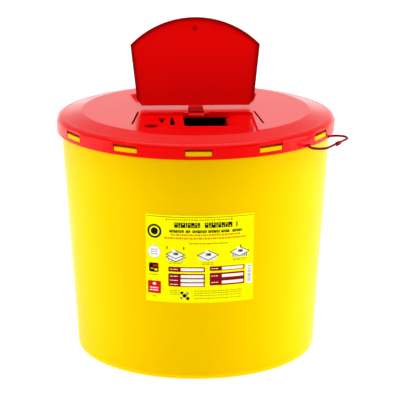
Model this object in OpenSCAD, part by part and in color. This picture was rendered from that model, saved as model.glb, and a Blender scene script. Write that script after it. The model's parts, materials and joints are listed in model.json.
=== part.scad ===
// Sharps container: a tapered bucket, a clip-on lid with drop-in apertures, a hinged flap
// over them, a pull loop on the lid's skirt and a label on the bucket.
// Millimetres. The front is -Y and up is +Z. The origin is on the floor, on the bucket's axis.
// Heights that belong to the lid are measured down from its flat top.

/* [Overall] */
// Height of the lid's flat top above the floor
height = 238; // [180:1:320]
// Outer diameter of the lid's skirt
lid_d = 270; // [255:1:330]
// Radius of the bucket's outer wall at floor level
base_r = 116.7; // [90:0.1:125]

/* [Bucket] */
// Thickness of the bucket's side wall
bucket_wall = 1.8; // [1.2:0.1:3]
// Thickness of the bucket's floor
floor_t = 2.2; // [1.5:0.1:4]
// Outer radius of the corner between wall and floor
base_corner = 7; // [4:0.5:12]
// Width of the ring that the bucket stands on
foot_w = 6; // [3:0.5:12]
// Height of the floor panel above the standing ring
foot_h = 2.5; // [1:0.5:5]
// Height of the bead round the rim
bead_h = 2.4; // [1.5:0.1:4]
// Distance that the rim bead stands out from the wall
bead_out = 1.6; // [0.8:0.1:3]

/* [Lid] */
// Thickness of the lid's top and pockets
lid_t = 2; // [1.4:0.1:3]
// Thickness of the lid's skirt
skirt_wall = 1.8; // [1.2:0.1:2.6]
// Depth of the skirt's lower edge below the flat top
skirt_drop = 18.5; // [17.5:0.5:26]
// Width of the sloping band outside the flat top, up to the rounded edge
slope_w = 17.3; // [12:0.1:26]
// Fall of the sloping band
slope_drop = 3.9; // [2:0.1:5.5]
// Height of the rounded edge between band and skirt
edge_r = 4.8; // [2:0.1:5]
// Width of that edge, from the band to the skirt's face
edge_w = 7.5; // [4:0.1:8]
// Depth of the seat that rests on the bucket's rim
seat_drop = 7; // [6.8:0.1:9]
// Width of the seat, from the skirt inwards
seat_w = 6.2; // [5.5:0.1:9]
// Thickness of the ring that plugs the bucket's mouth
plug_t = 1.4; // [1:0.1:2.5]
// Reach of the plug ring below the seat
plug_h = 7; // [3:0.5:7]

/* [Snap lock] */
// Number of windows in the skirt, with one tab in each
tabs = 12; // [6:1:16]
// Width of a window
window_w = 25; // [15:0.5:30]
// Height of a window
window_h = 6.6; // [4:0.1:8]
// Depth of a window's upper edge below the flat top
window_drop = 8.8; // [8.5:0.1:10]
// Turn of the ring of windows about the lid's middle
window_turn = -0.7; // [-15:0.1:15]
// Depth of the dent in the rounded edge above each window
dent = 1.1; // [0.5:0.1:1.2]

/* [Flap] */
// Length of the flap from its hinge edge to the middle of its rounded edge
flap_len = 85.4; // [75:0.1:92]
// Length of the flap from its hinge edge to its outer corners
flap_side = 59; // [50:0.1:62]
// Width of the flap at its hinge edge, before the corners are cut
flap_w_hinge = 113.8; // [100:0.1:120]
// Width of the flap at its outer corners
flap_w_outer = 125.6; // [120:0.1:135]
// Length of each cut corner beside the hinge edge
flap_cut = 6.6; // [3:0.1:10]
// Thickness of the flap's plate
flap_t = 1.8; // [1.2:0.1:3]
// Width of the rim round the flap's underside
flap_rim_w = 2; // [1.5:0.1:4]
// Height of that rim
flap_rim_h = 1; // [0.5:0.1:2]
// Thickness of the ribs that drop into the slits
rib_t = 1.2; // [0.8:0.1:2]
// Reach of the ribs below the lid's flat top
rib_drop = 1.6; // [1:0.1:1.8]
// Distance of a rib's middle from the flap's side
rib_inset = 1; // [0.8:0.1:2]
// Half width of the lip that hangs behind the flap's rounded edge
lip_half = 48; // [30:1:50]
// Reach of that lip below the lid's flat top
lip_drop = 2.2; // [1:0.1:2.4]
// Radius of the nib near the middle of the rounded edge
nib_r = 1.6; // [1:0.1:3]
// Reach of the nib below the flap's plate
nib_h = 1; // [0.5:0.1:1.1]
// Distance of the nib from the rounded edge
nib_back = 9.9; // [6:0.1:12]
// Angle from closed at which the flap stands open
flap_open = 100; // [95:1:105]

/* [Hinge] */
// Width of the tongue that carries the flap
tongue_w = 14.2; // [10:0.1:18]
// Thickness of the tongue
tongue_t = 2.2; // [1.6:0.1:2.6]
// Distance from the flap's hinge edge back to the axis
tongue_len = 6.2; // [6:0.1:8]
// Depth of the axis below the flat top
axis_drop = 3.1; // [2.8:0.1:3.6]
// Distance of the axis in front of the lid's middle
axis_front = 2.5; // [1:0.1:4]
// Radius of the barrel on the tongue
barrel_r = 1.7; // [1.4:0.1:2]
// Radius of the two stub pins at the barrel's ends
stub_r = 1.2; // [0.8:0.05:1.4]
// Length of each stub pin
stub_len = 2.8; // [2:0.1:4]
// Radial clearance of a stub pin in its socket
stub_gap = 0.05; // [0.02:0.01:0.1]
// Thickness of the lid beside each socket
ear_w = 6; // [5:0.1:8]

/* [Front pocket] */
// Depth of the front pocket
front_depth = 3; // [2.6:0.1:4]
// Distance of the front pocket's back wall in front of the lid's middle
front_start = 18.2; // [15:0.1:22]
// Half width of the front pocket at its back wall
front_half = 53.4; // [45:0.1:54]
// Growth of the half width per millimetre towards the front
front_flare = 0.023; // [0:0.001:0.05]
// Overrun of the front pocket past the flat top's edge
front_over = 2.9; // [1:0.1:4]
// Width of the two small lips beside the tongue
nose_w = 4.5; // [2:0.1:5]
// Length of those lips
nose_len = 4.4; // [2:0.1:6]

/* [Back pocket] */
// Depth of the back pocket
back_depth = 4.6; // [3:0.1:6]
// Distance of the back pocket's front wall behind the lid's middle
back_start = 19; // [15:0.1:24]
// Half width of the back pocket at its front wall
back_half = 56.6; // [45:0.1:60]
// Growth of the half width per millimetre towards the back
back_flare = 0.146; // [0:0.001:0.2]
// Radius of the back pocket's rear wall about the lid's middle
back_r = 90.7; // [80:0.1:96]

/* [Apertures] */
// Middle of the round aperture, from left to right
round_x = -44.1; // [-46:0.1:-42]
// Middle of the round aperture, from front to back
round_y = -61.6; // [-66:0.1:-58]
// Diameter of the round aperture
round_d = 13.6; // [6:0.1:16]
// Middle of the wedge-shaped slot, from left to right
wedge_x = -33.5; // [-34:0.1:-33]
// Back edge of the wedge-shaped slot
wedge_y = -29.3; // [-32:0.1:-27]
// Length of the wedge-shaped slot
wedge_len = 22; // [12:0.5:26]
// Width of the wedge-shaped slot at its back
wedge_w = 8.1; // [4:0.1:10]
// Middle of the teardrop slot, from left to right
teardrop_x = -23.6; // [-24:0.1:-22]
// Back end of the teardrop slot
teardrop_y = -22.8; // [-25:0.1:-21]
// Length of the teardrop slot
teardrop_len = 36.5; // [20:0.5:38]
// Width of the teardrop slot at its front
teardrop_w = 5; // [3:0.1:7]
// Width of the teardrop slot at its back
teardrop_tip = 1.4; // [1:0.1:3]
// Left edge of the large opening
drop_in_x = -12.9; // [-13:0.1:-10]
// Length of the large opening, from left to right
drop_in_l = 50; // [30:0.5:56]
// Width of the large opening, from front to back
drop_in_w = 45.6; // [30:0.1:50]
// Radius of the large opening's left corners
drop_in_r = 5; // [2:0.5:10]
// Length of the ramp that slopes down into the large opening
ramp_len = 9.5; // [5:0.5:14]
// Slope of the ramp, in degrees
ramp_angle = 16; // [8:1:30]
// Gap at each side of the ramp
ramp_gap = 1; // [0.6:0.1:2]

/* [Pull loop] */
// Azimuth of the loop's middle, to the right of the front
loop_az = 58.6; // [45:0.1:75]
// Radius of the loop's strand
strand_r = 1.2; // [0.8:0.1:1.4]
// Radius of the loop's two ends, to the middle of the strand
loop_end_r = 9.5; // [7:0.1:14]
// Half the distance between the centres of the ends
loop_half = 19.5; // [15:0.5:30]
// Distance of the strand's outer run from the lid's skirt
loop_reach = 17.8; // [12:0.1:22]
// Radius of the grip bead
grip_r = 2.1; // [1.5:0.1:3]
// Length of the grip bead
grip_len = 6; // [3:0.5:12]
// Distance of the bead's middle outside the strand's
grip_out = 0.6; // [0:0.1:1]
// Height of the strand's middle above the skirt's lower edge
loop_up = 1.4; // [1:0.1:3]

/* [Label] */
// Width of the label round the bucket
label_w = 103; // [60:1:130]
// Height of the label
label_h = 86; // [50:0.5:110]
// Height of the label's lower edge above the floor
label_z = 79; // [30:0.5:90]
// Thickness of the label
label_t = 0.15; // [0.1:0.01:0.3]

/* [Hidden] */
$fn = 128;

red = [0.86, 0.03, 0.04];
dark_red = [0.7, 0.02, 0.02];
yellow = [1, 0.85, 0];
pale_yellow = [0.98, 0.97, 0.1];

// Clearances
rim_gap = 0.6;     // rim bead to skirt
plug_gap = 0.2;    // plug ring to bucket, at the ring's lower end
tab_gap = 0.5;     // tab to each side of its window
tab_drop_gap = 0.2; // tab to the window's lower edge
tab_top_gap = 1.4; // tab to the window's upper edge
tab_recess = 0.5;  // tab face inside the skirt's face
flap_lift = 0.2;   // closed flap's rim above the flat top
slit_gap = 0.4;    // rib to each side of its slit
slit_end_gap = 1.5; // rib to each end of its slit
tongue_gap = 0.3;  // tongue to each side of its notch
stop_gap = 0.3;    // open tongue to the notch's back edge
stub_end_gap = 0.3; // stub pin to the bottom of its socket
back_gap = 0.7;    // large opening to the front pocket's back wall
join = 1;          // overlap where two shapes of one piece are joined
label_gap = 0.1;   // label to bucket

// Lid
lid_r = lid_d / 2;
skirt_in = lid_r - skirt_wall;
slope_out = lid_r - edge_w;
flat_r = slope_out - slope_w;
fall = slope_drop / slope_w;
seat_z = height - seat_drop;
seat_in = lid_r - skirt_wall - seat_w;

// Bucket
rim_r = skirt_in - rim_gap;
top_r = rim_r - bead_out;
lean = (top_r - base_r) / seat_z;
function wall_r(z) = base_r + lean * z;
plug_r = wall_r(seat_z - plug_h) - bucket_wall - plug_gap;

// Windows and tabs
window_low = height - window_drop - window_h;
tab_low = window_low + tab_drop_gap;
tab_high = height - window_drop - tab_top_gap;
tab_face = lid_r - tab_recess;
tab_ramp = 1.4;    // height of the slope on top of a tab
tab_deg = 2 * asin((window_w / 2 - tab_gap) / tab_face);

// Flap, closed. The hinge edge lies along X at hinge_y.
hinge_y = -axis_front - tongue_len;
flap_low = height + flap_lift + flap_rim_h;
sagitta = flap_len - flap_side;
arc_r = (pow(flap_w_outer / 2, 2) + pow(sagitta, 2)) / (2 * sagitta);
arc_y = hinge_y - flap_len + arc_r;
side_flare = (flap_w_outer - flap_w_hinge) / 2 / (flap_side - flap_cut);
cut_lean = 0.7;  // width of a cut corner over its length
rib_back = 1;    // rib's back end in front of the cut corner
rib_front = 2.5; // rib's front end behind the outer corner
side_back = hinge_y - flap_cut;
side_front = hinge_y - flap_side;
function side_x(y) = flap_w_hinge / 2 + side_flare * (side_back - y);

// Hinge
axis_z = height - axis_drop;
axis_y = -axis_front;
barrel_room = 2.3;     // barrel to the notch's front
barrel_low_room = 1.4; // barrel to the notch's floor
block_t = 1.8;         // thickness of the lid under the notch and behind it
notch_half = tongue_w / 2 + tongue_gap;
heel = [-tongue_len, flap_low + flap_t - axis_z];
// Turns a point in the YZ plane about the axis by the opening angle
function opened(p) = [p[0] * cos(flap_open) + p[1] * sin(flap_open),
                      -p[0] * sin(flap_open) + p[1] * cos(flap_open)];
tongue_dir = [-tongue_len, flap_low + flap_t / 2 - axis_z];
tongue_n = [tongue_dir[1], tongue_len] / norm(tongue_dir);
root_back = tongue_n * tongue_t / 2;
back_top = opened(heel);
back_root = opened(root_back);
// Where the open tongue's back crosses the level of the flat top
cross = (axis_drop - back_root[1]) / (back_top[1] - back_root[1]);
notch_back = axis_y + back_root[0] + cross * (back_top[0] - back_root[0]) + stop_gap;
notch_front = axis_y - barrel_r - barrel_room;
notch_floor = axis_z - barrel_r - barrel_low_room;
block_low = notch_floor - block_t;

// Pockets and apertures
front_z = height - front_depth;
back_z = height - back_depth;
front_r = flat_r + front_over;
pocket_wall = 1.6;
pocket_below = 1.3; // top of the pocket's solid below the flat top, under the sloping band
pocket_corner = 3;
drop_in_back = -front_start - back_gap;
drop_in_right = drop_in_x + drop_in_l;

module cup_outline(r_low, r_high, z_low, z_high, corner) {
    tilt = (r_high - r_low) / (z_high - z_low);
    a = atan(tilt);
    cx = r_low + tilt * corner - corner / cos(a);
    difference() {
        polygon([[0, z_low], [r_low, z_low], [r_high, z_high], [0, z_high]]);
        difference() {
            polygon([[cx, z_low - 1], [r_low + corner, z_low - 1],
                     [r_low + corner, z_low + corner - corner * sin(a)],
                     [cx + corner * cos(a), z_low + corner - corner * sin(a)],
                     [cx, z_low + corner]]);
            translate([cx, z_low + corner]) circle(r = corner);
        }
    }
}

module bucket_section() {
    inside_low = foot_h + floor_t;
    corner_mid = base_r - base_corner;
    difference() {
        union() {
            cup_outline(base_r, top_r, 0, seat_z, base_corner);
            polygon([[top_r - 1, seat_z - bead_h - bead_out - 1], [top_r, seat_z - bead_h - bead_out],
                     [rim_r, seat_z - bead_h], [rim_r, seat_z], [top_r - 1, seat_z]]);
        }
        cup_outline(wall_r(inside_low) - bucket_wall, wall_r(seat_z + 1) - bucket_wall,
                    inside_low, seat_z + 1, base_corner - bucket_wall);
        translate([-1, -1]) square([corner_mid - foot_w + 1, foot_h + 1]);
    }
}

module tab() {
    inner = wall_r(tab_low) - bucket_wall / 2;
    rotate([0, 0, -90 - tab_deg / 2]) rotate_extrude(angle = tab_deg)
        polygon([[inner, tab_low], [tab_face, tab_low], [tab_face, tab_high - tab_ramp],
                 [rim_r, tab_high], [inner, tab_high]]);
}

module bucket() {
    color(yellow) union() {
        rotate_extrude() bucket_section();
        for (i = [0 : tabs - 1]) rotate([0, 0, i * 360 / tabs + window_turn]) tab();
    }
}

module lid_section() {
    seat_slope = fall * (seat_in - flat_r);
    difference() {
        union() {
            polygon([[0, height], [flat_r, height], [slope_out, height - slope_drop],
                     [slope_out, height - skirt_drop], [0, height - skirt_drop]]);
            translate([slope_out - 1, height - skirt_drop])
                square([edge_w + 1, skirt_drop - slope_drop - edge_r]);
            translate([slope_out, height - slope_drop - edge_r]) scale([edge_w / edge_r, 1]) circle(r = edge_r);
        }
        polygon([[-1, height - lid_t], [flat_r, height - lid_t], [seat_in, height - seat_slope - lid_t],
                 [seat_in, seat_z], [skirt_in, seat_z], [skirt_in, height - skirt_drop - 1],
                 [-1, height - skirt_drop - 1]]);
    }
    translate([plug_r - plug_t, seat_z - plug_h]) square([plug_t, plug_h + join / 2]);
}

module front_outline(grow) {
    reach = front_r + 10;
    y_back = -front_start + grow;
    x_back = front_half + grow;
    corner = pocket_corner + grow;
    x_reach = x_back + front_flare * (reach - front_start);
    intersection() {
        circle(r = front_r + grow);
        union() {
            polygon([[-x_back + corner, y_back], [x_back - corner, y_back], [x_back, y_back - corner],
                     [x_reach, -reach], [-x_reach, -reach], [-x_back, y_back - corner]]);
            for (s = [-1, 1]) translate([s * (x_back - corner), y_back - corner]) circle(r = corner);
        }
    }
}

module back_outline(grow) {
    reach = back_r + 10;
    x_near = back_half + grow;
    x_far = x_near + back_flare * (reach - back_start);
    intersection() {
        circle(r = back_r + grow);
        polygon([[-x_near, back_start - grow], [x_near, back_start - grow],
                 [x_far, reach], [-x_far, reach]]);
    }
}

// A slanted strip beside the flap's edge, on the side given by s
module side_strip(s, w, extra) {
    y1 = side_back - rib_back + extra;
    y2 = side_front + rib_front - extra;
    x1 = s * (side_x(y1) - rib_inset);
    x2 = s * (side_x(y2) - rib_inset);
    polygon([[x1 - w / 2, y1], [x2 - w / 2, y2], [x2 + w / 2, y2], [x1 + w / 2, y1]]);
    if (extra > 0) for (p = [[x1, y1], [x2, y2]]) translate(p) circle(d = w);
}

module teardrop_slot() {
    front = teardrop_len - teardrop_w / 2;
    translate([0, -front]) circle(d = teardrop_w);
    translate([0, -teardrop_tip / 2]) circle(d = teardrop_tip);
    polygon([[-teardrop_tip / 2, -teardrop_tip / 2], [teardrop_tip / 2, -teardrop_tip / 2],
             [teardrop_w / 2, -front], [-teardrop_w / 2, -front]]);
}

module large_opening() {
    difference() {
        translate([drop_in_x, drop_in_back - drop_in_w]) square([drop_in_l, drop_in_w]);
        for (e = [0, 1]) translate([drop_in_x, drop_in_back - e * drop_in_w]) mirror([0, 1 - e])
            difference() {
                translate([-1, -1]) square(drop_in_r + 1);
                translate([drop_in_r, drop_in_r]) circle(r = drop_in_r);
            }
    }
}

module apertures() {
    translate([round_x, round_y]) circle(d = round_d);
    translate([wedge_x, wedge_y]) polygon([[-wedge_w / 2, 0], [wedge_w / 2, 0], [0, -wedge_len]]);
    translate([teardrop_x, teardrop_y]) teardrop_slot();
    large_opening();
}

module ramp() {
    drop = ramp_len * tan(ramp_angle);
    left = drop_in_right - ramp_len;
    translate([0, drop_in_back - ramp_gap, front_z]) rotate([90, 0, 0])
        linear_extrude(drop_in_w - 2 * ramp_gap)
        polygon([[drop_in_right + join, 0], [drop_in_right, 0], [left, -drop], [left, -drop - pocket_wall],
                 [drop_in_right, -pocket_wall], [drop_in_right + join, -pocket_wall]]);
}

// Noses of the bar beside the tongue
module noses() {
    for (s = [0, 1]) mirror([s, 0, 0]) translate([notch_half, -front_start - nose_len, height - lid_t])
        cube([nose_w, nose_len + join, lid_t]);
}

module tongue_notch() {
    y_front = -front_start - nose_len - join;
    translate([-notch_half, y_front, front_z])
        cube([2 * notch_half, notch_back - y_front, front_depth + 1]);
    translate([-notch_half, notch_front, notch_floor])
        cube([2 * notch_half, notch_back - notch_front, height - notch_floor + 1]);
}

module sockets() {
    reach = notch_half + stub_len + stub_end_gap - tongue_gap;
    translate([-reach, axis_y, axis_z]) rotate([0, 90, 0])
        cylinder(r = stub_r + stub_gap, h = 2 * reach);
}

module window_cut() {
    outside = 2;
    translate([-window_w / 2, -lid_r - outside, window_low])
        cube([window_w, outside + skirt_wall + join, window_h]);
    translate([-window_w / 2, -lid_r - outside, height - window_drop - join])
        cube([window_w, outside + dent, window_drop + 2 * join]);
}

module lid() {
    block_back = notch_back + block_t;
    color(red) difference() {
        union() {
            difference() {
                union() {
                    rotate_extrude() lid_section();
                    translate([0, 0, front_z - lid_t])
                        linear_extrude(front_depth + lid_t - pocket_below) front_outline(pocket_wall);
                    translate([0, 0, back_z - lid_t])
                        linear_extrude(back_depth + lid_t - pocket_below) back_outline(pocket_wall);
                }
                translate([0, 0, front_z]) linear_extrude(front_depth + 2) front_outline(0);
                translate([0, 0, back_z]) linear_extrude(back_depth + 2) back_outline(0);
                translate([0, 0, front_z - lid_t - 1]) linear_extrude(lid_t + 2) apertures();
            }
            translate([-notch_half - ear_w, -front_start, block_low])
                cube([2 * (notch_half + ear_w), front_start + block_back, height - lid_t / 2 - block_low]);
            noses();
            ramp();
        }
        tongue_notch();
        sockets();
        for (s = [-1, 1]) translate([0, 0, height - lid_t - join])
            linear_extrude(lid_t + 2 * join) side_strip(s, rib_t + 2 * slit_gap, slit_end_gap);
        for (i = [0 : tabs - 1]) rotate([0, 0, i * 360 / tabs + window_turn]) window_cut();
    }
}

module flap_outline(inset) {
    back = hinge_y - inset;
    far = hinge_y - flap_len - 10;
    x_back = flap_w_hinge / 2 - flap_cut * cut_lean - inset * (1 + cut_lean) / 3;
    x_side = side_x(side_back) - inset;
    cut_front = side_back - inset / 3;
    x_far = side_x(far) - inset;
    intersection() {
        translate([0, arc_y]) circle(r = arc_r - inset);
        polygon([[-x_back, back], [x_back, back], [x_side, cut_front], [x_far, far],
                 [-x_far, far], [-x_side, cut_front]]);
    }
}

module tongue() {
    a = [axis_y, axis_z];
    top = flap_low + flap_t;
    translate([-tongue_w / 2, 0, 0]) rotate([90, 0, 90]) linear_extrude(tongue_w) union() {
        translate(a) circle(r = barrel_r);
        polygon([a + root_back, [hinge_y, top], [hinge_y - 2 * join, top], [hinge_y - 2 * join, flap_low],
                 a - root_back]);
    }
    reach = tongue_w / 2 + stub_len;
    translate([-reach, axis_y, axis_z]) rotate([0, 90, 0]) cylinder(r = stub_r, h = 2 * reach);
}

module flap_closed() {
    lip_low = height - lip_drop;
    lip_inset = 0.4;
    translate([0, 0, flap_low]) linear_extrude(flap_t) flap_outline(0);
    translate([0, 0, flap_low - flap_rim_h]) linear_extrude(flap_rim_h + join / 2) difference() {
        flap_outline(0);
        flap_outline(flap_rim_w);
    }
    for (s = [-1, 1]) translate([0, 0, height - rib_drop])
        linear_extrude(rib_drop + flap_lift + flap_rim_h + join / 2) side_strip(s, rib_t, 0);
    translate([0, 0, lip_low]) linear_extrude(flap_low - lip_low + join / 2) intersection() {
        translate([0, arc_y]) difference() {
            circle(r = arc_r - lip_inset);
            circle(r = arc_r - lip_inset - rib_t);
        }
        translate([-lip_half, hinge_y - flap_len]) square([2 * lip_half, flap_len / 2]);
    }
    translate([0, hinge_y - flap_len + nib_back, flap_low - nib_h]) cylinder(r = nib_r, h = nib_h + join / 2);
    tongue();
}

module flap() {
    color(dark_red) translate([0, axis_y, axis_z]) rotate([-flap_open, 0, 0])
        translate([0, -axis_y, -axis_z]) flap_closed();
}

module pull_loop() {
    run_y = -lid_r - loop_reach;
    end_y = run_y + loop_end_r;
    z = height - skirt_drop + loop_up;
    color(red) difference() {
        rotate([0, 0, loop_az]) translate([0, 0, z]) {
            translate([-loop_half, run_y, 0]) rotate([0, 90, 0]) cylinder(r = strand_r, h = 2 * loop_half);
            translate([-grip_len / 2, run_y - grip_out, 0]) rotate([0, 90, 0])
                cylinder(r = grip_r, h = grip_len);
            for (s = [-1, 1]) translate([s * loop_half, end_y, 0]) rotate([0, 0, s > 0 ? -90 : 90])
                rotate_extrude(angle = 180) translate([loop_end_r, 0]) circle(r = strand_r);
        }
        cylinder(r = lid_r, h = height);
    }
}

module label() {
    low = wall_r(label_z) + label_gap;
    high = wall_r(label_z + label_h) + label_gap;
    turn = label_w / wall_r(label_z + label_h / 2) * 180 / PI;
    color(pale_yellow) rotate([0, 0, -90 - turn / 2]) rotate_extrude(angle = turn)
        polygon([[low, label_z], [low + label_t, label_z],
                 [high + label_t, label_z + label_h], [high, label_z + label_h]]);
}

bucket();
lid();
flap();
pull_loop();
label();
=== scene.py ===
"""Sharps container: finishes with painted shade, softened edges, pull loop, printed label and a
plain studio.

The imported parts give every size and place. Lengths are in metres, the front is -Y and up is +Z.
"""

import json
import math

import bmesh
import bpy
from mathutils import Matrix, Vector

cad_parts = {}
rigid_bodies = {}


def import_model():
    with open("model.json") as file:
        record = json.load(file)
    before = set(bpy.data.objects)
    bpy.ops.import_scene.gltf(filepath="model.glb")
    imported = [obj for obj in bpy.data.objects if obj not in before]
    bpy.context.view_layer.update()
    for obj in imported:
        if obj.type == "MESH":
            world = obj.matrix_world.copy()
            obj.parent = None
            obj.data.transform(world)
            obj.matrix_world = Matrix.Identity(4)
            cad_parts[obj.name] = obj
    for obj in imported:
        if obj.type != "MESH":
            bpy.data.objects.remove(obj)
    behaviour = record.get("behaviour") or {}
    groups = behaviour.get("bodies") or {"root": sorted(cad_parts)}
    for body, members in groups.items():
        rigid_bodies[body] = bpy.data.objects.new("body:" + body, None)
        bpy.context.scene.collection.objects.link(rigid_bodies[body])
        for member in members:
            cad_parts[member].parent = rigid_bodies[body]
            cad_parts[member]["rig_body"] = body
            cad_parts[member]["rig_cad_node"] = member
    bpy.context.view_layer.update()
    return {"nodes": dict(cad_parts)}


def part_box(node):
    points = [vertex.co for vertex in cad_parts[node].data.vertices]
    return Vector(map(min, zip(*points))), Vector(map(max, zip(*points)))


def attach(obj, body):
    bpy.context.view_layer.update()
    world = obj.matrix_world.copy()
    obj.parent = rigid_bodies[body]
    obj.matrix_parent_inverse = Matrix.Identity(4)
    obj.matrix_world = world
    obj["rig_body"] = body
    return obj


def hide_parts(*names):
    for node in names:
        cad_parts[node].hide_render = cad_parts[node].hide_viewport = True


bl_info = {
    "name": "Sharps Container",
    "version": (1, 0, 0),
    "blender": (4, 5, 0),
    "location": "View3D > Sidebar > Sharps Container",
    "description": "Finishes a sharps container: bucket, lid, flap, pull loop and label",
    "category": "Object",
}

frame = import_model()
LID_LOW, LID_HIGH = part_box("lid")
LABEL_LOW, LABEL_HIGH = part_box("label")
MM = 0.001

# Softening: an area in square metres, angles in degrees, a distance in metres and a count
BROAD_FACE = 3e-5
SHARP_ANGLE = 30
CREASE_ANGLE = 10
FLAT_ANGLE = 0.2
SMOOTH_ANGLE = 50
SAME_POINT = 1e-6
BEVEL_STEPS = 3

LID_R = (LID_HIGH.x - LID_LOW.x) / 2
LID_BOTTOM = LID_LOW.z
DECK_TOP = LID_HIGH.z
INNER_R = LID_R - 0.012
LEAN_BACK = math.radians(10)
FLAP_UP = Vector((0, math.sin(LEAN_BACK), math.cos(LEAN_BACK)))
FLAP_OUT = Vector((0, -math.cos(LEAN_BACK), math.sin(LEAN_BACK)))

# The label is laid out flat in millimetres, then bent on the bucket
LABEL_W = 103.0
LABEL_H = (LABEL_HIGH.z - LABEL_LOW.z) / MM
FILM, BLACK, DARK_RED, RED, ORANGE, OLIVE, WHITE, GREY = range(8)
INKS = (
    ("black_ink", (0.004, 0.005, 0.004)),
    ("dark_red_ink", (0.27, 0.0, 0.002)),
    ("red_ink", (0.72, 0.002, 0.006)),
    ("orange_ink", (0.72, 0.3, 0.0)),
    ("olive_ink", (0.34, 0.32, 0.003)),
    ("white_ink", (0.93, 0.93, 0.86)),
    ("grey_ink", (0.25, 0.3, 0.3)),
)


# Finishes


def finish(name):
    """Returns a new empty node material with its shader, and the tree's nodes and links."""
    material = bpy.data.materials.new(name)
    material.use_nodes = True
    nodes = material.node_tree.nodes
    nodes.clear()
    output = nodes.new("ShaderNodeOutputMaterial")
    shader = nodes.new("ShaderNodeBsdfPrincipled")
    material.node_tree.links.new(shader.outputs["BSDF"], output.inputs["Surface"])
    return material, shader, nodes, material.node_tree.links


def noise(nodes, links, place, scale, detail=2.0, rough=0.5):
    """A noise texture on the piece's own place."""
    texture = nodes.new("ShaderNodeTexNoise")
    texture.inputs["Scale"].default_value = scale
    texture.inputs["Detail"].default_value = detail
    texture.inputs["Roughness"].default_value = rough
    links.new(place.outputs["Object"], texture.inputs["Vector"])
    return texture


def spread(nodes, links, source, low, high, edges=(0.3, 0.7)):
    """Maps a texture's middle range on a range of values."""
    ranger = nodes.new("ShaderNodeMapRange")
    ranger.inputs["From Min"].default_value = edges[0]
    ranger.inputs["From Max"].default_value = edges[1]
    ranger.inputs["To Min"].default_value = low
    ranger.inputs["To Max"].default_value = high
    links.new(source, ranger.inputs["Value"])
    return ranger.outputs["Result"]


def two_tones(nodes, links, factor, low, high):
    """Mixes two colours by a factor."""
    mix = nodes.new("ShaderNodeMix")
    mix.data_type = "RGBA"
    links.new(factor, mix.inputs["Factor"])
    mix.inputs["A"].default_value = (*low, 1)
    mix.inputs["B"].default_value = (*high, 1)
    return mix.outputs["Result"]


def bumps(nodes, links, shader, height, distance, strength):
    """Raises the surface a little by a texture's height."""
    bump = nodes.new("ShaderNodeBump")
    bump.inputs["Distance"].default_value = distance
    bump.inputs["Strength"].default_value = strength
    links.new(height, bump.inputs["Height"])
    links.new(bump.outputs["Normal"], shader.inputs["Normal"])


def moulded_plastic(name, colour, tint, roughness, gloss_level=0.5):
    """Smooth moulded polypropylene: slow shifts of tone, uneven gloss and a faint flow ripple."""
    material, shader, nodes, links = finish(name)
    place = nodes.new("ShaderNodeTexCoord")
    cloud = noise(nodes, links, place, scale=9.0)
    darker = [0.94 * c for c in colour]
    tone = two_tones(nodes, links, spread(nodes, links, cloud.outputs["Fac"], 0, 1), darker, colour)
    links.new(tone, shader.inputs["Base Color"])
    haze = noise(nodes, links, place, scale=38.0, detail=3.0)
    gloss = spread(nodes, links, haze.outputs["Fac"], roughness * 0.85, roughness * 1.15)
    links.new(gloss, shader.inputs["Roughness"])
    ripple = noise(nodes, links, place, scale=60.0, detail=1.0)
    bumps(nodes, links, shader, ripple.outputs["Fac"], distance=0.0002, strength=0.03)
    shader.inputs["IOR"].default_value = 1.5
    shader.inputs["Specular IOR Level"].default_value = gloss_level
    shader.inputs["Specular Tint"].default_value = (*tint, 1)
    return material


def math_node(nodes, links, operation, first, second=None):
    """A math node on two sockets or numbers."""
    node = nodes.new("ShaderNodeMath")
    node.operation = operation
    for index, value in enumerate((first, second)):
        if isinstance(value, (int, float)):
            node.inputs[index].default_value = value
        elif value is not None:
            links.new(value, node.inputs[index])
    return node.outputs["Value"]


def along(nodes, links, source, direction):
    """The part of a vector socket that runs along a direction."""
    dot = nodes.new("ShaderNodeVectorMath")
    dot.operation = "DOT_PRODUCT"
    links.new(source, dot.inputs[0])
    dot.inputs[1].default_value = tuple(direction)
    return dot.outputs["Value"]


def radius_and_height(nodes, links, place):
    """Sockets with a point's distance from the upright axis and its height."""
    split = nodes.new("ShaderNodeSeparateXYZ")
    links.new(place.outputs["Object"], split.inputs["Vector"])
    across = math_node(nodes, links, "MULTIPLY", split.outputs["X"], split.outputs["X"])
    deep = math_node(nodes, links, "MULTIPLY", split.outputs["Y"], split.outputs["Y"])
    squares = math_node(nodes, links, "ADD", across, deep)
    return math_node(nodes, links, "SQRT", squares), split.outputs["Z"]


def darkened(material, colour, build):
    """Paints shade: mixes a dark colour over a material where build(nodes, links, place) gives 1.
    """
    nodes = material.node_tree.nodes
    links = material.node_tree.links
    shader = next(node for node in nodes if node.type == "BSDF_PRINCIPLED")
    tone = shader.inputs["Base Color"].links[0].from_socket
    place = nodes.new("ShaderNodeTexCoord")
    mix = nodes.new("ShaderNodeMix")
    mix.data_type = "RGBA"
    links.new(build(nodes, links, place), mix.inputs["Factor"])
    links.new(tone, mix.inputs["A"])
    mix.inputs["B"].default_value = (*colour, 1)
    links.new(mix.outputs["Result"], shader.inputs["Base Color"])
    return material


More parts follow.
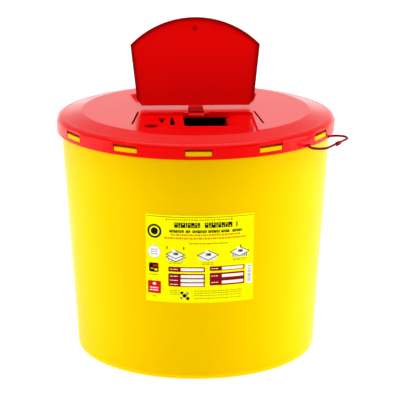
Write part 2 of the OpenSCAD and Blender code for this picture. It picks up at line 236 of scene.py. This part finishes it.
def printed_film(name, colour, tint, roughness, gloss_level=0.1):
    """Glossy printed film: even ink with a fine grain."""
    material, shader, nodes, links = finish(name)
    place = nodes.new("ShaderNodeTexCoord")
    grain = noise(nodes, links, place, scale=900.0)
    darker = [0.96 * c for c in colour]
    tone = two_tones(nodes, links, spread(nodes, links, grain.outputs["Fac"], 0, 1), darker, colour)
    links.new(tone, shader.inputs["Base Color"])
    waves = noise(nodes, links, place, scale=25.0)
    gloss = spread(nodes, links, waves.outputs["Fac"], roughness * 0.8, roughness * 1.2)
    links.new(gloss, shader.inputs["Roughness"])
    bumps(nodes, links, shader, waves.outputs["Fac"], distance=0.0003, strength=0.05)
    shader.inputs["Specular IOR Level"].default_value = gloss_level
    shader.inputs["Specular Tint"].default_value = (*tint, 1)
    return material


# Modelling


def choose_only(piece):
    """Makes a piece the only selected one."""
    bpy.ops.object.select_all(action="DESELECT")
    piece.select_set(True)
    bpy.context.view_layer.objects.active = piece


def coat(piece, material):
    """Gives a piece one material."""
    piece.data.materials.clear()
    piece.data.materials.append(material)


def select_edges(piece, wanted):
    """In edit mode, selects just the edges for which wanted(edge) is true."""
    bpy.ops.mesh.select_mode(type="EDGE")
    bpy.ops.mesh.select_all(action="DESELECT")
    shape = bmesh.from_edit_mesh(piece.data)
    for edge in shape.edges:
        if wanted(edge):
            edge.select_set(True)
    shape.select_flush(True)
    bmesh.update_edit_mesh(piece.data)


def is_corner(edge):
    """True for a sharp edge, and for a shallow crease beside a broad face."""
    if len(edge.link_faces) != 2:
        return False
    angle = math.degrees(edge.calc_face_angle(0))
    broad = max(face.calc_area() for face in edge.link_faces) > BROAD_FACE
    return angle > SHARP_ANGLE or (angle > CREASE_ANGLE and broad)


def softened(node, name, width, material):
    """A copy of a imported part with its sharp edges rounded, which stands for the part."""
    choose_only(frame["nodes"][node])
    bpy.ops.object.duplicate()
    piece = bpy.context.active_object
    piece.name = name
    piece.data.name = name
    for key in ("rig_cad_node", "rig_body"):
        if key in piece:
            del piece[key]
    bpy.ops.object.mode_set(mode="EDIT")
    bpy.ops.mesh.select_all(action="SELECT")
    bpy.ops.mesh.customdata_custom_splitnormals_clear()
    bpy.ops.mesh.remove_doubles(threshold=SAME_POINT)
    bpy.ops.mesh.dissolve_limited(angle_limit=math.radians(FLAT_ANGLE))
    select_edges(piece, is_corner)
    bpy.ops.transform.edge_bevelweight(value=1)
    bpy.ops.object.mode_set(mode="OBJECT")
    edges = piece.modifiers.new("Soft edges", "BEVEL")
    edges.width = width
    edges.segments = BEVEL_STEPS
    edges.limit_method = "WEIGHT"
    bpy.ops.object.modifier_apply(modifier=edges.name)
    bpy.ops.object.shade_smooth_by_angle(angle=math.radians(SMOOTH_ANGLE))
    even = piece.modifiers.new("Even shading", "WEIGHTED_NORMAL")
    even.keep_sharp = True
    bpy.ops.object.modifier_apply(modifier=even.name)
    coat(piece, material)
    return piece


# Settings


class FinishSettings(bpy.types.PropertyGroup):
    """Colours and gloss of the plastics and the label."""

    bucket_colour: bpy.props.FloatVectorProperty(
        name="Bucket", description="Colour of the bucket",
        subtype="COLOR", default=(1.0, 0.7, 0.0),
    )
    lid_colour: bpy.props.FloatVectorProperty(
        name="Lid", description="Colour of the lid, flap and loop",
        subtype="COLOR", default=(0.86, 0.002, 0.002),
    )
    label_colour: bpy.props.FloatVectorProperty(
        name="Label", description="Ground colour of the label",
        subtype="COLOR", default=(1.0, 0.95, 0.0),
    )
    bucket_gloss: bpy.props.FloatProperty(
        name="Bucket roughness", description="Roughness of the bucket",
        default=0.22, min=0.05, max=0.8,
    )
    lid_gloss: bpy.props.FloatProperty(
        name="Lid roughness", description="Roughness of the lid",
        default=0.2, min=0.05, max=0.8,
    )
    edge_round: bpy.props.FloatProperty(
        name="Edge radius", description="Radius of the softened edges",
        subtype="DISTANCE", default=0.0004,
    )


class StageSettings(bpy.types.PropertyGroup):
    """Camera and lights."""

    lens: bpy.props.FloatProperty(
        name="Lens", description="Focal length in millimetres", unit="CAMERA", default=180.0
    )
    eye: bpy.props.FloatVectorProperty(
        name="Camera", description="Place of the camera",
        subtype="TRANSLATION", default=(-0.0620, -1.8970, 0.6581),
    )
    room: bpy.props.FloatProperty(
        name="Room", description="Brightness of the wall behind", default=1.6
    )
    top_power: bpy.props.FloatProperty(
        name="Top light", description="Power of the top light", unit="POWER", default=25.0
    )
    left_power: bpy.props.FloatProperty(
        name="Left light", description="Power of the left light", unit="POWER", default=5.5
    )
    right_power: bpy.props.FloatProperty(
        name="Right light", description="Power of the right light", unit="POWER", default=8.0
    )
    front_power: bpy.props.FloatProperty(
        name="Front light", description="Power of the front light", unit="POWER", default=9.0
    )
    tilt: bpy.props.FloatProperty(
        name="Tilt", description="Tilt of the camera from straight down", subtype="ANGLE",
        default=math.radians(74.89),
    )
    turn: bpy.props.FloatProperty(
        name="Turn", description="Turn of the camera about the vertical", subtype="ANGLE",
        default=math.radians(-2.0),
    )


# Operators


class SHARPS_OT_bucket(bpy.types.Operator):
    """Makes the bucket with softened edges and painted shade"""

    bl_idname = "sharps.bucket"
    bl_label = "Bucket"
    # Painted shade: share of the bucket colour kept where the wall faces the camera
    painted_facing_share = (0.86, 0.76, 1)
    # Painted shade under the lid's skirt
    skirt_shade_tone = (0.6, 0.33, 0.0)
    # Painted shade on the rim seen through the windows
    window_shade_tone = (0.52, 0.03, 0.0)
    # Painted shade on the bucket's inside
    inside_shade_tone = (0.02, 0.012, 0.0)
    shade_start = 60 * MM
    shade_end = 22 * MM
    tab_depth = (1.4 * MM, 0.9 * MM)
    rim_rise = (1.0 * MM, 1.5 * MM)

    def painted_facing_shade(self, nodes, links, place):
        """Painted shade that follows the camera: 1 where the wall faces the camera, wherever it
        stands, and 0 where it turns away.
        """
        weight = nodes.new("ShaderNodeLayerWeight")
        weight.inputs["Blend"].default_value = 0.5
        return spread(nodes, links, weight.outputs["Facing"], 1, 0, (0.0, 0.5))

    def painted_under_lid_shade(self, nodes, links, place):
        """Painted shade: grows from 0 to a light shade under the lid's skirt, where the skirt
        shades the wall.
        """
        height = radius_and_height(nodes, links, place)[1]
        reach = (DECK_TOP - self.shade_start, DECK_TOP - self.shade_end)
        return spread(nodes, links, height, 0.0, 0.2, reach)

    def painted_window_shade(self, nodes, links, place):
        """Painted shade: 1 on the rim behind the skirt's windows, inside the tabs' faces, where the
        skirt shades it.
        """
        radius, height = radius_and_height(nodes, links, place)
        within = spread(nodes, links, radius, 1, 0, [LID_R - deep for deep in self.tab_depth])
        high = spread(nodes, links, height, 0, 1, [LID_BOTTOM + rise for rise in self.rim_rise])
        return math_node(nodes, links, "MULTIPLY", within, high)

    def inside(self, nodes, links, place):
        """Painted shade: 1 on faces that look towards the bucket's axis, so the unlit inside is
        painted dark.
        """
        dot = nodes.new("ShaderNodeVectorMath")
        dot.operation = "DOT_PRODUCT"
        level = nodes.new("ShaderNodeVectorMath")
        level.operation = "MULTIPLY"
        level.inputs[1].default_value = (1, 1, 0)
        links.new(place.outputs["Object"], level.inputs[0])
        links.new(level.outputs["Vector"], dot.inputs[0])
        links.new(place.outputs["Normal"], dot.inputs[1])
        return spread(nodes, links, dot.outputs["Value"], 1, 0, (-0.03, -0.02))

    def execute(self, context):
        look = context.scene.sharps_finish
        plastic = moulded_plastic(
            "yellow_polypropylene", look.bucket_colour, (1.0, 0.7, 0.0), look.bucket_gloss, 0.025
        )
        # Painted shade: a deeper yellow where the wall faces the camera, lighter towards the sides
        painted_facing_colour = [share * c for share, c in zip(self.painted_facing_share, look.bucket_colour)]
        darkened(plastic, painted_facing_colour, self.painted_facing_shade)
        # Painted shade under the lid's skirt
        darkened(plastic, self.skirt_shade_tone, self.painted_under_lid_shade)
        # Painted shade on the rim seen through the windows
        darkened(plastic, self.window_shade_tone, self.painted_window_shade)
        # Painted shade on the bucket's inside
        darkened(plastic, self.inside_shade_tone, self.inside)
        piece = softened("bucket", "bucket_shell", look.edge_round, plastic)
        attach(piece, "container")
        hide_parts("bucket")
        return {"FINISHED"}


class SHARPS_OT_lid(bpy.types.Operator):
    """Makes the lid with softened edges and painted shade"""

    bl_idname = "sharps.lid"
    bl_label = "Lid"
    # Painted shade under the pockets
    pocket_shade_tone = (0.012, 0.001, 0.0)
    # Painted shade on the windows' sides and the skirt's inside
    jamb_shade_tone = (0.22, 0.004, 0.0)
    pocket_drop = (5.6 * MM, 5.0 * MM)
    skirt_depth = (0.9 * MM, 0.5 * MM)
    window_drop = (9.2 * MM, 8.4 * MM)

    def painted_deck_shade(self, nodes, links, place):
        """Painted shade: 1 under the lid's pockets, within the skirt, where the unlit inside is
        painted dark.
        """
        radius, height = radius_and_height(nodes, links, place)
        within = spread(nodes, links, radius, 1, 0, (INNER_R - MM, INNER_R))
        low = spread(nodes, links, height, 1, 0, [DECK_TOP - drop for drop in self.pocket_drop])
        return math_node(nodes, links, "MULTIPLY", within, low)

    def painted_jamb_shade(self, nodes, links, place):
        """Painted shade: close to 1 on the windows' sides and the skirt's inside."""
        radius, height = radius_and_height(nodes, links, place)
        within = spread(nodes, links, radius, 0.85, 0, [LID_R - deep for deep in self.skirt_depth])
        low = spread(nodes, links, height, 1, 0, [DECK_TOP - drop for drop in self.window_drop])
        return math_node(nodes, links, "MULTIPLY", within, low)

    def execute(self, context):
        look = context.scene.sharps_finish
        plastic = moulded_plastic(
            "red_polypropylene", look.lid_colour, (1.0, 0.05, 0.05), look.lid_gloss
        )
        # Painted shade under the pockets
        darkened(plastic, self.pocket_shade_tone, self.painted_deck_shade)
        # Painted shade on the windows' sides and the skirt's inside
        darkened(plastic, self.jamb_shade_tone, self.painted_jamb_shade)
        piece = softened("lid", "lid_shell", look.edge_round, plastic)
        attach(piece, "container")
        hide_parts("lid")
        return {"FINISHED"}


class SHARPS_OT_flap(bpy.types.Operator):
    """Makes the flap with softened edges and painted shade on its underside"""

    bl_idname = "sharps.flap"
    bl_label = "Flap"
    nib_back = 9.9 * MM
    nib_middle = 0.8 * MM
    nib_reach = (1.5 * MM, 3.2 * MM)
    # Painted shade on the flap's underside
    flap_shade_tone = (0.17, 0.0, 0.0)
    edge_reach = (0.8 * MM, 5.0 * MM)
    heel_reach = (5 * MM, 60 * MM)
    tongue_reach = (8.5 * MM, 7.2 * MM)

    def outline(self):
        """The outline's outer corner and side's lower end, as width and height, and its top."""
        points = [(abs(v.co.x), v.co.dot(FLAP_UP)) for v in frame["nodes"]["flap"].data.vertices]
        corner = max(points)
        top = max(height for width, height in points)
        middle = (corner[1] + min(height for width, height in points)) / 2
        heel = max(point for point in points if point[1] < middle)
        return corner, heel, top

    def painted_edge_shade(self, nodes, links, place):
        """Painted shade on the underside: 1 at its sides and rounded edge, 0 a few millimetres
        inside them, darker towards the hinge and on the tongue, with a painted shadow below the
        nib.
        """
        corner, heel, top = self.outline()
        sagitta = top - corner[1]
        radius = (corner[0] ** 2 + sagitta**2) / (2 * sagitta)
        flare = (corner[0] - heel[0]) / (corner[1] - heel[1])
        split = nodes.new("ShaderNodeSeparateXYZ")
        links.new(place.outputs["Object"], split.inputs["Vector"])
        across = math_node(nodes, links, "ABSOLUTE", split.outputs["X"])
        up = along(nodes, links, place.outputs["Object"], FLAP_UP)
        grown = math_node(nodes, links, "MULTIPLY", up, flare)
        side = math_node(nodes, links, "ADD", grown, corner[0] - flare * corner[1])
        side_gap = math_node(nodes, links, "SUBTRACT", side, across)
        above = math_node(nodes, links, "SUBTRACT", up, top - radius)
        squares = math_node(
            nodes, links, "ADD",
            math_node(nodes, links, "MULTIPLY", across, across),
            math_node(nodes, links, "MULTIPLY", above, above),
        )
        reach = math_node(nodes, links, "SQRT", squares)
        arc_gap = math_node(nodes, links, "SUBTRACT", radius, reach)
        gap = math_node(nodes, links, "MINIMUM", side_gap, arc_gap)
        edge = spread(nodes, links, gap, 0.93, 0.0, self.edge_reach)
        # Painted shade: darker towards the hinge and on the tongue
        below, over = self.heel_reach
        low = spread(nodes, links, up, 0.2, 0.0, (heel[1] - below, heel[1] + over))
        notch = [heel[1] - drop for drop in self.tongue_reach]
        painted_tongue_shade = spread(nodes, links, up, 0.75, 0.0, notch)
        # Painted shadow below the nib
        nib = math_node(nodes, links, "SUBTRACT", up, top - self.nib_back - self.nib_middle)
        spot = math_node(
            nodes, links, "SQRT",
            math_node(
                nodes, links, "ADD",
                math_node(nodes, links, "MULTIPLY", across, across),
                math_node(nodes, links, "MULTIPLY", nib, nib),
            ),
        )
        painted_nib_shadow = spread(nodes, links, spot, 0.6, 0.0, self.nib_reach)
        dark = math_node(nodes, links, "MAXIMUM", low, painted_tongue_shade)
        dark = math_node(nodes, links, "MAXIMUM", edge, dark)
        dark = math_node(nodes, links, "MAXIMUM", dark, painted_nib_shadow)
        outwards = along(nodes, links, place.outputs["Normal"], FLAP_OUT)
        facing = spread(nodes, links, outwards, 0, 1, (0.0, 0.3))
        return math_node(nodes, links, "MULTIPLY", dark, facing)

    def execute(self, context):
        look = context.scene.sharps_finish
        plastic = moulded_plastic(
            "flap_polypropylene", look.lid_colour, (1.0, 0.02, 0.02), look.lid_gloss, 0.35
        )
        # Painted shade on the flap's underside
        darkened(plastic, self.flap_shade_tone, self.painted_edge_shade)
        piece = softened("flap", "flap_cover", look.edge_round, plastic)
        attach(piece, "cover_flap")
        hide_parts("flap")
        return {"FINISHED"}


class SHARPS_OT_loop(bpy.types.Operator):
    """Makes the pull loop"""

    bl_idname = "sharps.loop"
    bl_label = "Pull Loop"

    def execute(self, context):
        look = context.scene.sharps_finish
        deep = [0.28 * c for c in look.lid_colour]
        plastic = moulded_plastic("loop_polypropylene", deep, (1.0, 0.1, 0.1), look.lid_gloss, 0.3)
        piece = softened("pull_loop", "loop_strand", look.edge_round, plastic)
        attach(piece, "container")
        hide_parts("pull_loop")
        return {"FINISHED"}


class SHARPS_OT_label(bpy.types.Operator):
    """Makes the label: a film and blocks of ink, wrapped on the bucket"""

    bl_idname = "sharps.label"
    bl_label = "Label"
    film = 0.15 * MM
    sunk = 0.1 * MM
    step = 0.02 * MM
    bend_step = 2.5
    upright = (math.radians(90), 0, 0)

    def raise_ink(self, level, ink):
        """Gives the chosen flat shape its ink and a thickness that starts inside the film."""
        self.piece.active_material_index = ink
        bpy.ops.mesh.select_linked()
        bpy.ops.object.material_slot_assign()
        rise = self.sunk + level * self.step
        bpy.ops.mesh.extrude_region_move(TRANSFORM_OT_translate={"value": (0, -rise, 0)})

    def block(self, u, v, width, height, ink, level=1, corner=0.0):
        """A rectangle of ink about u, right of the label's middle, and v, down from its top."""
        bpy.ops.mesh.select_all(action="DESELECT")
        place = (u * MM, self.sunk - self.film, -v * MM)
        count = max(1, math.ceil(width / self.bend_step))
        bpy.ops.mesh.primitive_grid_add(
            x_subdivisions=count, y_subdivisions=1, size=1, location=place, rotation=self.upright
        )
        bpy.ops.transform.resize(value=(width * MM, 1, height * MM), center_override=place)
        if corner:
            bpy.ops.mesh.select_mode(type="VERT")
            shape = bmesh.from_edit_mesh(self.piece.data)
            for vertex in [v for v in shape.verts if v.select]:
                if abs(vertex.co.x - place[0]) < (width / 2 - 0.01) * MM:
                    vertex.select_set(False)
            bmesh.update_edit_mesh(self.piece.data)
            bpy.ops.mesh.bevel(offset=corner * MM, segments=4, affect="VERTICES")
        self.raise_ink(level, ink)

    def disc(self, u, v, radius, ink, level=1, squash=1.0, corners=24):
        """A disc of ink, or a diamond with four corners; squash is its height over its width."""
        bpy.ops.mesh.select_all(action="DESELECT")
        place = (u * MM, self.sunk - self.film, -v * MM)
        bpy.ops.mesh.primitive_circle_add(
            vertices=corners, radius=radius * MM, fill_type="TRIFAN", location=place,
            rotation=self.upright,
        )
        bpy.ops.transform.resize(value=(1, 1, squash), center_override=place)
        bpy.ops.mesh.subdivide(number_cuts=1 + int(radius / 3))
        self.raise_ink(level, ink)

    def line(self, start, end, v, height, ink, level=1, word=7.0, gap=1.2, notched=False):
        """A line of print: dashes of uneven length, with a notch in each if asked."""
        lengths = (1.0, 0.6, 1.3, 0.45, 0.85)
        u = start
        index = 0
        while u < end - 0.5:
            length = min(word * lengths[index % len(lengths)], end - u)
            self.block(u + length / 2, v, length, height, ink, level)
            if notched:
                side = 1 if index % 2 else -1
                self.block(
                    u + length / 2, v + side * height * 0.22, length * 0.3, height * 0.26,
                    FILM, level + 1,
                )
            u += length + gap
            index += 1

    def headline(self):
        """Two bold lines, two coloured lines and the thin lines round them."""
        self.block(0, 1.9, 101, 0.45, BLACK)
        self.block(-31.2, 4.3, 0.9, 1.6, BLACK)
        self.block(29.6, 4.3, 0.9, 1.6, BLACK)
        self.line(-29.5, 28, 4.3, 0.9, OLIVE, word=1.9, gap=0.5)
        self.line(-24, -0.1, 9.5, 5.0, BLACK, word=3.2, gap=0.45, notched=True)
        self.line(4.3, 31, 9.5, 5.0, BLACK, word=3.2, gap=0.45, notched=True)
        self.block(34.5, 9.5, 1.2, 5.0, BLACK)
        for start, end in (
            (-28.7, -15.2), (-13.3, -8.9), (-7.1, 6.1), (7.6, 18.2), (19.6, 28.1), (30.3, 40.2)
        ):
            self.line(start, end, 15.6, 2.6, BLACK, word=2.4, gap=0.35, notched=True)
        self.line(-27.3, 37.6, 19.1, 1.7, ORANGE, word=2.4, gap=0.5)
        self.line(-33.5, 44.2, 22.4, 1.7, ORANGE, word=2.6, gap=0.5)
        self.line(-10, 25.9, 27.4, 1.1, OLIVE, word=2.2, gap=0.5)

    def tray(self, u, v, width, height, level):
        """A white diamond with a dark outline, like a tray seen from above its corner."""
        self.disc(u, v, width / 2 + 0.6, BLACK, level, height / width, 4)
        self.disc(u, v, width / 2 - 0.9, WHITE, level + 1, height / width, 4)

    def panels(self):
        """Three small pictures of trays with marks, and their captions."""
        for u, v, width, height, layers in (
            (-23, 38.4, 17.8, 8.6, 2), (7.4, 38.8, 19.6, 9.6, 1), (37.8, 36.8, 18.8, 8.8, 1)
        ):
            self.block(u, v + 2.4 + 1.2 * (layers - 1), width * 0.84, 5.6, WHITE, 1, corner=1.6)
            for layer in range(layers):
                self.tray(u, v + 2.8 * (layers - 1 - layer), width, height, 2 + 2 * layer)
            self.block(u - 1.6, v - 3.4, 3.0, 3.0, WHITE, 6, corner=0.6)
            self.block(u + 0.3, v - 0.8, 5.0, 2.8, GREY, 7, corner=0.9)
            self.block(u + 0.9, v - 0.5, 3.0, 1.4, BLACK, 8)
        for u, v in ((-31.0, 32.0), (-15.2, 32.0), (38.6, 31.4)):
            self.block(u, v, 0.9, 2.6, BLACK, 8)
        for start, end, v in (
            (-29, -17, 45.8), (-29, -17, 47.3), (2, 13, 46.3),
            (2, 13, 47.8), (31, 44, 43.4), (31, 44, 44.9),
        ):
            self.line(start, end, v, 0.7, OLIVE, word=2.0, gap=0.5)

    def left_column(self):
        """Plain badges down the left side."""
        self.disc(-43, 16.4, 6.9, BLACK)
        self.disc(-43, 16.4, 5.0, FILM, 2)
        self.disc(-43, 16.4, 3.5, BLACK, 3)
        self.disc(-43.4, 36.7, 6.3, GREY)
        self.disc(-43.4, 36.7, 6.0, WHITE, 2)
        for rise in (-2.2, 0, 2.2):
            self.line(-46.6, -40.2, 36.7 + rise, 0.8, GREY, 3, word=2.2, gap=0.5)
        self.block(-43.8, 52.3, 9.4, 9.0, BLACK, corner=1.8)
        self.block(-42.4, 50.6, 4.6, 2.0, RED, 2)
        self.block(-45.2, 53.6, 3.6, 1.4, ORANGE, 2)
        self.block(-41.6, 54.4, 2.8, 1.8, FILM, 2)
        self.line(-48, -39.5, 59.4, 0.8, OLIVE, word=2, gap=0.5)
        self.block(-43.2, 71.7, 12.9, 12.4, RED, corner=2.0)
        self.disc(-43.2, 68.4, 2.0, WHITE, 2, 0.8, 4)
        for v in (72.4, 74.8):
            self.line(-47.6, -38.8, v, 1.1, WHITE, 2, word=2.0, gap=0.45)
        self.line(-45, -41, 80.8, 0.9, OLIVE, word=2, gap=0.5)

    def forms(self):
        """Two dark red forms with white fields."""
        for u, width, v, height, field_u, field_w, rows in (
            (-12.6, 34.2, 53.0, 4.9, -7.3, 21.6, (53.0,)),
            (-12.6, 34.2, 63.6, 12.9, -7.3, 21.6, (59.8, 63.9, 67.9)),
            (25.7, 33.4, 52.2, 4.5, 30.8, 20.9, (52.2,)),
            (25.7, 33.4, 62.6, 12.5, 30.8, 20.9, (59.5, 65.9)),
        ):
            self.block(u, v, width, height, DARK_RED, corner=1.1)
            for row in rows:
                self.block(field_u, row, field_w, 2.9, WHITE, 2, corner=0.9)
                start = u - width / 2 + 1.6
                end = field_u - field_w / 2 - 2.6
                self.line(start, end, row, 0.7, WHITE, 2, word=1.8, gap=0.5)

    def foot(self):
        """A patch of bars, a plain mark of four spots and the small print."""
        self.block(47.1, 59.7, 5.9, 18.7, WHITE)
        for row in range(11):
            self.block(47.3, 52.2 + 1.5 * row, 3.4, 0.6 if row % 3 else 0.9, GREY, 2)
        for u, v, radius, ink in (
            (-16.9, 76.2, 1.5, BLACK), (-11.8, 76.6, 1.4, GREY), (-14.4, 78.9, 1.9, BLACK),
            (-17.4, 81.2, 1.3, GREY), (-11.4, 81.6, 1.6, BLACK),
        ):
            self.disc(u, v, radius, ink)
        for v in (73.9, 75.8, 77.8):
            self.line(-28, -18.8, v, 0.7, OLIVE, word=1.9, gap=0.5)
        for v in (74.2, 76.3, 78.6, 81.5):
            self.line(-5.3, 41.3, v, 0.7, OLIVE, word=2.3, gap=0.5)

    def wrap(self, film):
        """Bends the flat label on the bucket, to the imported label's place and slope."""
        spots = [v.co for v in film.data.vertices]
        middle = (LABEL_LOW.z + LABEL_HIGH.z) / 2
        near_foot = middle - (middle - LABEL_LOW.z) * 0.9
        near_head = middle + (LABEL_HIGH.z - middle) * 0.9
        low_r = max(math.hypot(c.x, c.y) for c in spots if c.z < near_foot)
        high_r = max(math.hypot(c.x, c.y) for c in spots if c.z > near_head)
        for vertex in self.piece.data.vertices:
            flat = vertex.co
            z = LABEL_HIGH.z + flat.z
            share = (z - LABEL_LOW.z) / (LABEL_HIGH.z - LABEL_LOW.z)
            radius = low_r + (high_r - low_r) * share - self.film - flat.y
            angle = flat.x / radius
            vertex.co = (radius * math.sin(angle), -radius * math.cos(angle), z)

    def execute(self, context):
        look = context.scene.sharps_finish
        columns = math.ceil(LABEL_W / self.bend_step)
        bpy.ops.mesh.primitive_grid_add(
            x_subdivisions=columns, y_subdivisions=1, size=1, rotation=self.upright
        )
        bpy.ops.object.transform_apply(location=False, rotation=True, scale=False)
        self.piece = bpy.context.active_object
        self.piece.name = "label_print"
        self.piece.data.name = "label_print"
        slots = self.piece.data.materials
        slots.append(printed_film("label_film", look.label_colour, (1.0, 1.0, 0.1), 0.3, 0.06))
        for name, colour in INKS:
            slots.append(printed_film(name, colour, (1.0, 1.0, 1.0), 0.35, 0.05))
        bpy.ops.object.mode_set(mode="EDIT")
        bpy.ops.mesh.select_all(action="SELECT")
        bpy.ops.transform.resize(value=(LABEL_W * MM, 1, LABEL_H * MM), center_override=(0, 0, 0))
        bpy.ops.transform.translate(value=(0, 0, -LABEL_H / 2 * MM))
        bpy.ops.mesh.extrude_region_move(TRANSFORM_OT_translate={"value": (0, -self.film, 0)})
        bpy.ops.mesh.select_all(action="SELECT")
        self.headline()
        self.panels()
        self.left_column()
        self.forms()
        self.foot()
        bpy.ops.mesh.select_all(action="SELECT")
        bpy.ops.mesh.normals_make_consistent(inside=False)
        bpy.ops.object.mode_set(mode="OBJECT")
        self.wrap(frame["nodes"]["label"])
        bpy.ops.object.shade_smooth_by_angle(angle=math.radians(30))
        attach(self.piece, "container")
        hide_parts("label")
        return {"FINISHED"}


class SHARPS_OT_stage(bpy.types.Operator):
    """Sets the floor, the lights and the camera"""

    bl_idname = "sharps.stage"
    bl_label = "Stage"
    target = Vector((0, 0, 0.14))
    wall_shades = ((0.0, 1.0), (0.12, 1.0), (0.2, 0.48), (0.4, 0.3), (0.65, 0.22))

    def soft_box(self, name, place, width, height, power):
        """A soft box that faces the object."""
        bpy.ops.object.light_add(type="AREA", location=place)
        box = bpy.context.active_object
        box.name = name
        box.data.shape = "RECTANGLE"
        box.data.size = width
        box.data.size_y = height
        box.data.energy = power
        aim = self.target - Vector(place)
        box.rotation_euler = aim.to_track_quat("-Z", "Y").to_euler()

    def world(self, stage):
        """A wall that lights the object, bright low behind it, and plain white to the camera."""
        world = bpy.data.worlds.new("Studio")
        bpy.context.scene.world = world
        world.use_nodes = True
        nodes = world.node_tree.nodes
        links = world.node_tree.links
        nodes.clear()
        output = nodes.new("ShaderNodeOutputWorld")
        room = nodes.new("ShaderNodeBackground")
        plain = nodes.new("ShaderNodeBackground")
        seen = nodes.new("ShaderNodeLightPath")
        mix = nodes.new("ShaderNodeMixShader")
        links.new(seen.outputs["Is Camera Ray"], mix.inputs["Fac"])
        links.new(room.outputs["Background"], mix.inputs[1])
        links.new(plain.outputs["Background"], mix.inputs[2])
        links.new(mix.outputs["Shader"], output.inputs["Surface"])
        plain.inputs["Color"].default_value = (0.97, 0.97, 0.97, 1)
        place = nodes.new("ShaderNodeTexCoord")
        split = nodes.new("ShaderNodeSeparateXYZ")
        links.new(place.outputs["Generated"], split.inputs["Vector"])
        wall = nodes.new("ShaderNodeValToRGB")
        links.new(split.outputs["Z"], wall.inputs["Fac"])
        ramp = wall.color_ramp.elements
        for height, shade in self.wall_shades[2:]:
            ramp.new(height)
        for stop, (height, shade) in zip(ramp, self.wall_shades):
            stop.position = height
            stop.color = (shade, shade, shade, 1)
        depth = spread(nodes, links, split.outputs["Y"], 0.3, 1.0, (-0.2, 0.5))
        dim = nodes.new("ShaderNodeMix")
        dim.data_type = "RGBA"
        dim.inputs["A"].default_value = (0, 0, 0, 1)
        links.new(depth, dim.inputs["Factor"])
        links.new(wall.outputs["Color"], dim.inputs["B"])
        links.new(dim.outputs["Result"], room.inputs["Color"])
        room.inputs["Strength"].default_value = stage.room

    def execute(self, context):
        stage = context.scene.sharps_stage
        bpy.ops.mesh.primitive_plane_add(size=12)
        floor = bpy.context.active_object
        floor.name = "floor"
        pale, shader, nodes, links = finish("pale_floor")
        place = nodes.new("ShaderNodeTexCoord")
        grain = noise(nodes, links, place, scale=3.0)
        cloud = spread(nodes, links, grain.outputs["Fac"], 0, 1)
        tone = two_tones(nodes, links, cloud, (0.93, 0.93, 0.93), (0.95, 0.95, 0.95))
        links.new(tone, shader.inputs["Base Color"])
        shader.inputs["Roughness"].default_value = 0.9
        shader.inputs["Specular IOR Level"].default_value = 0.1
        shader.inputs["Emission Color"].default_value = (1, 1, 1, 1)
        seen = nodes.new("ShaderNodeLightPath")
        glow = spread(nodes, links, seen.outputs["Is Camera Ray"], 0.45, 0.65, (0, 1))
        links.new(glow, shader.inputs["Emission Strength"])
        coat(floor, pale)
        self.world(stage)
        self.soft_box("top_light", (0, 0, 1.8), 1.8, 1.8, stage.top_power)
        self.soft_box("left_light", (-1.3, -0.2, 0.45), 0.6, 0.9, stage.left_power)
        self.soft_box("right_light", (1.3, -0.2, 0.45), 0.6, 0.9, stage.right_power)
        self.soft_box("front_light", (0, -2.6, 1.5), 1.6, 1.0, stage.front_power)
        bpy.ops.object.camera_add(location=stage.eye, rotation=(stage.tilt, 0, stage.turn))
        camera = bpy.context.active_object
        camera.data.lens = stage.lens
        context.scene.camera = camera
        context.scene.view_settings.view_transform = "Standard"
        return {"FINISHED"}


class SHARPS_PT_panel(bpy.types.Panel):
    """Lists the container's pieces and settings"""

    bl_idname = "SHARPS_PT_panel"
    bl_label = "Sharps Container"
    bl_space_type = "VIEW_3D"
    bl_region_type = "UI"
    bl_category = "Sharps Container"

    def draw(self, context):
        layout = self.layout
        for group in ("sharps_finish", "sharps_stage"):
            settings = getattr(context.scene, group)
            box = layout.box()
            for name in settings.__annotations__:
                box.prop(settings, name)
        for operator in OPERATORS:
            layout.operator(operator.bl_idname)


OPERATORS = (
    SHARPS_OT_bucket,
    SHARPS_OT_lid,
    SHARPS_OT_flap,
    SHARPS_OT_loop,
    SHARPS_OT_label,
    SHARPS_OT_stage,
)
SETTINGS = {"sharps_finish": FinishSettings, "sharps_stage": StageSettings}


def register():
    """Registers the classes and hangs the settings on the scene."""
    for group in SETTINGS.values():
        bpy.utils.register_class(group)
    for operator in OPERATORS:
        bpy.utils.register_class(operator)
    bpy.utils.register_class(SHARPS_PT_panel)
    for name, group in SETTINGS.items():
        setattr(bpy.types.Scene, name, bpy.props.PointerProperty(type=group))


def unregister():
    """Takes the settings and the classes away again."""
    for name in SETTINGS:
        delattr(bpy.types.Scene, name)
    bpy.utils.unregister_class(SHARPS_PT_panel)
    for operator in reversed(OPERATORS):
        bpy.utils.unregister_class(operator)
    for group in SETTINGS.values():
        bpy.utils.unregister_class(group)


def main():
    """Builds every piece and the stage."""
    register()
    bpy.ops.sharps.bucket()
    bpy.ops.sharps.lid()
    bpy.ops.sharps.flap()
    bpy.ops.sharps.loop()
    bpy.ops.sharps.label()
    bpy.ops.sharps.stage()


if __name__ == "__main__":
    main()
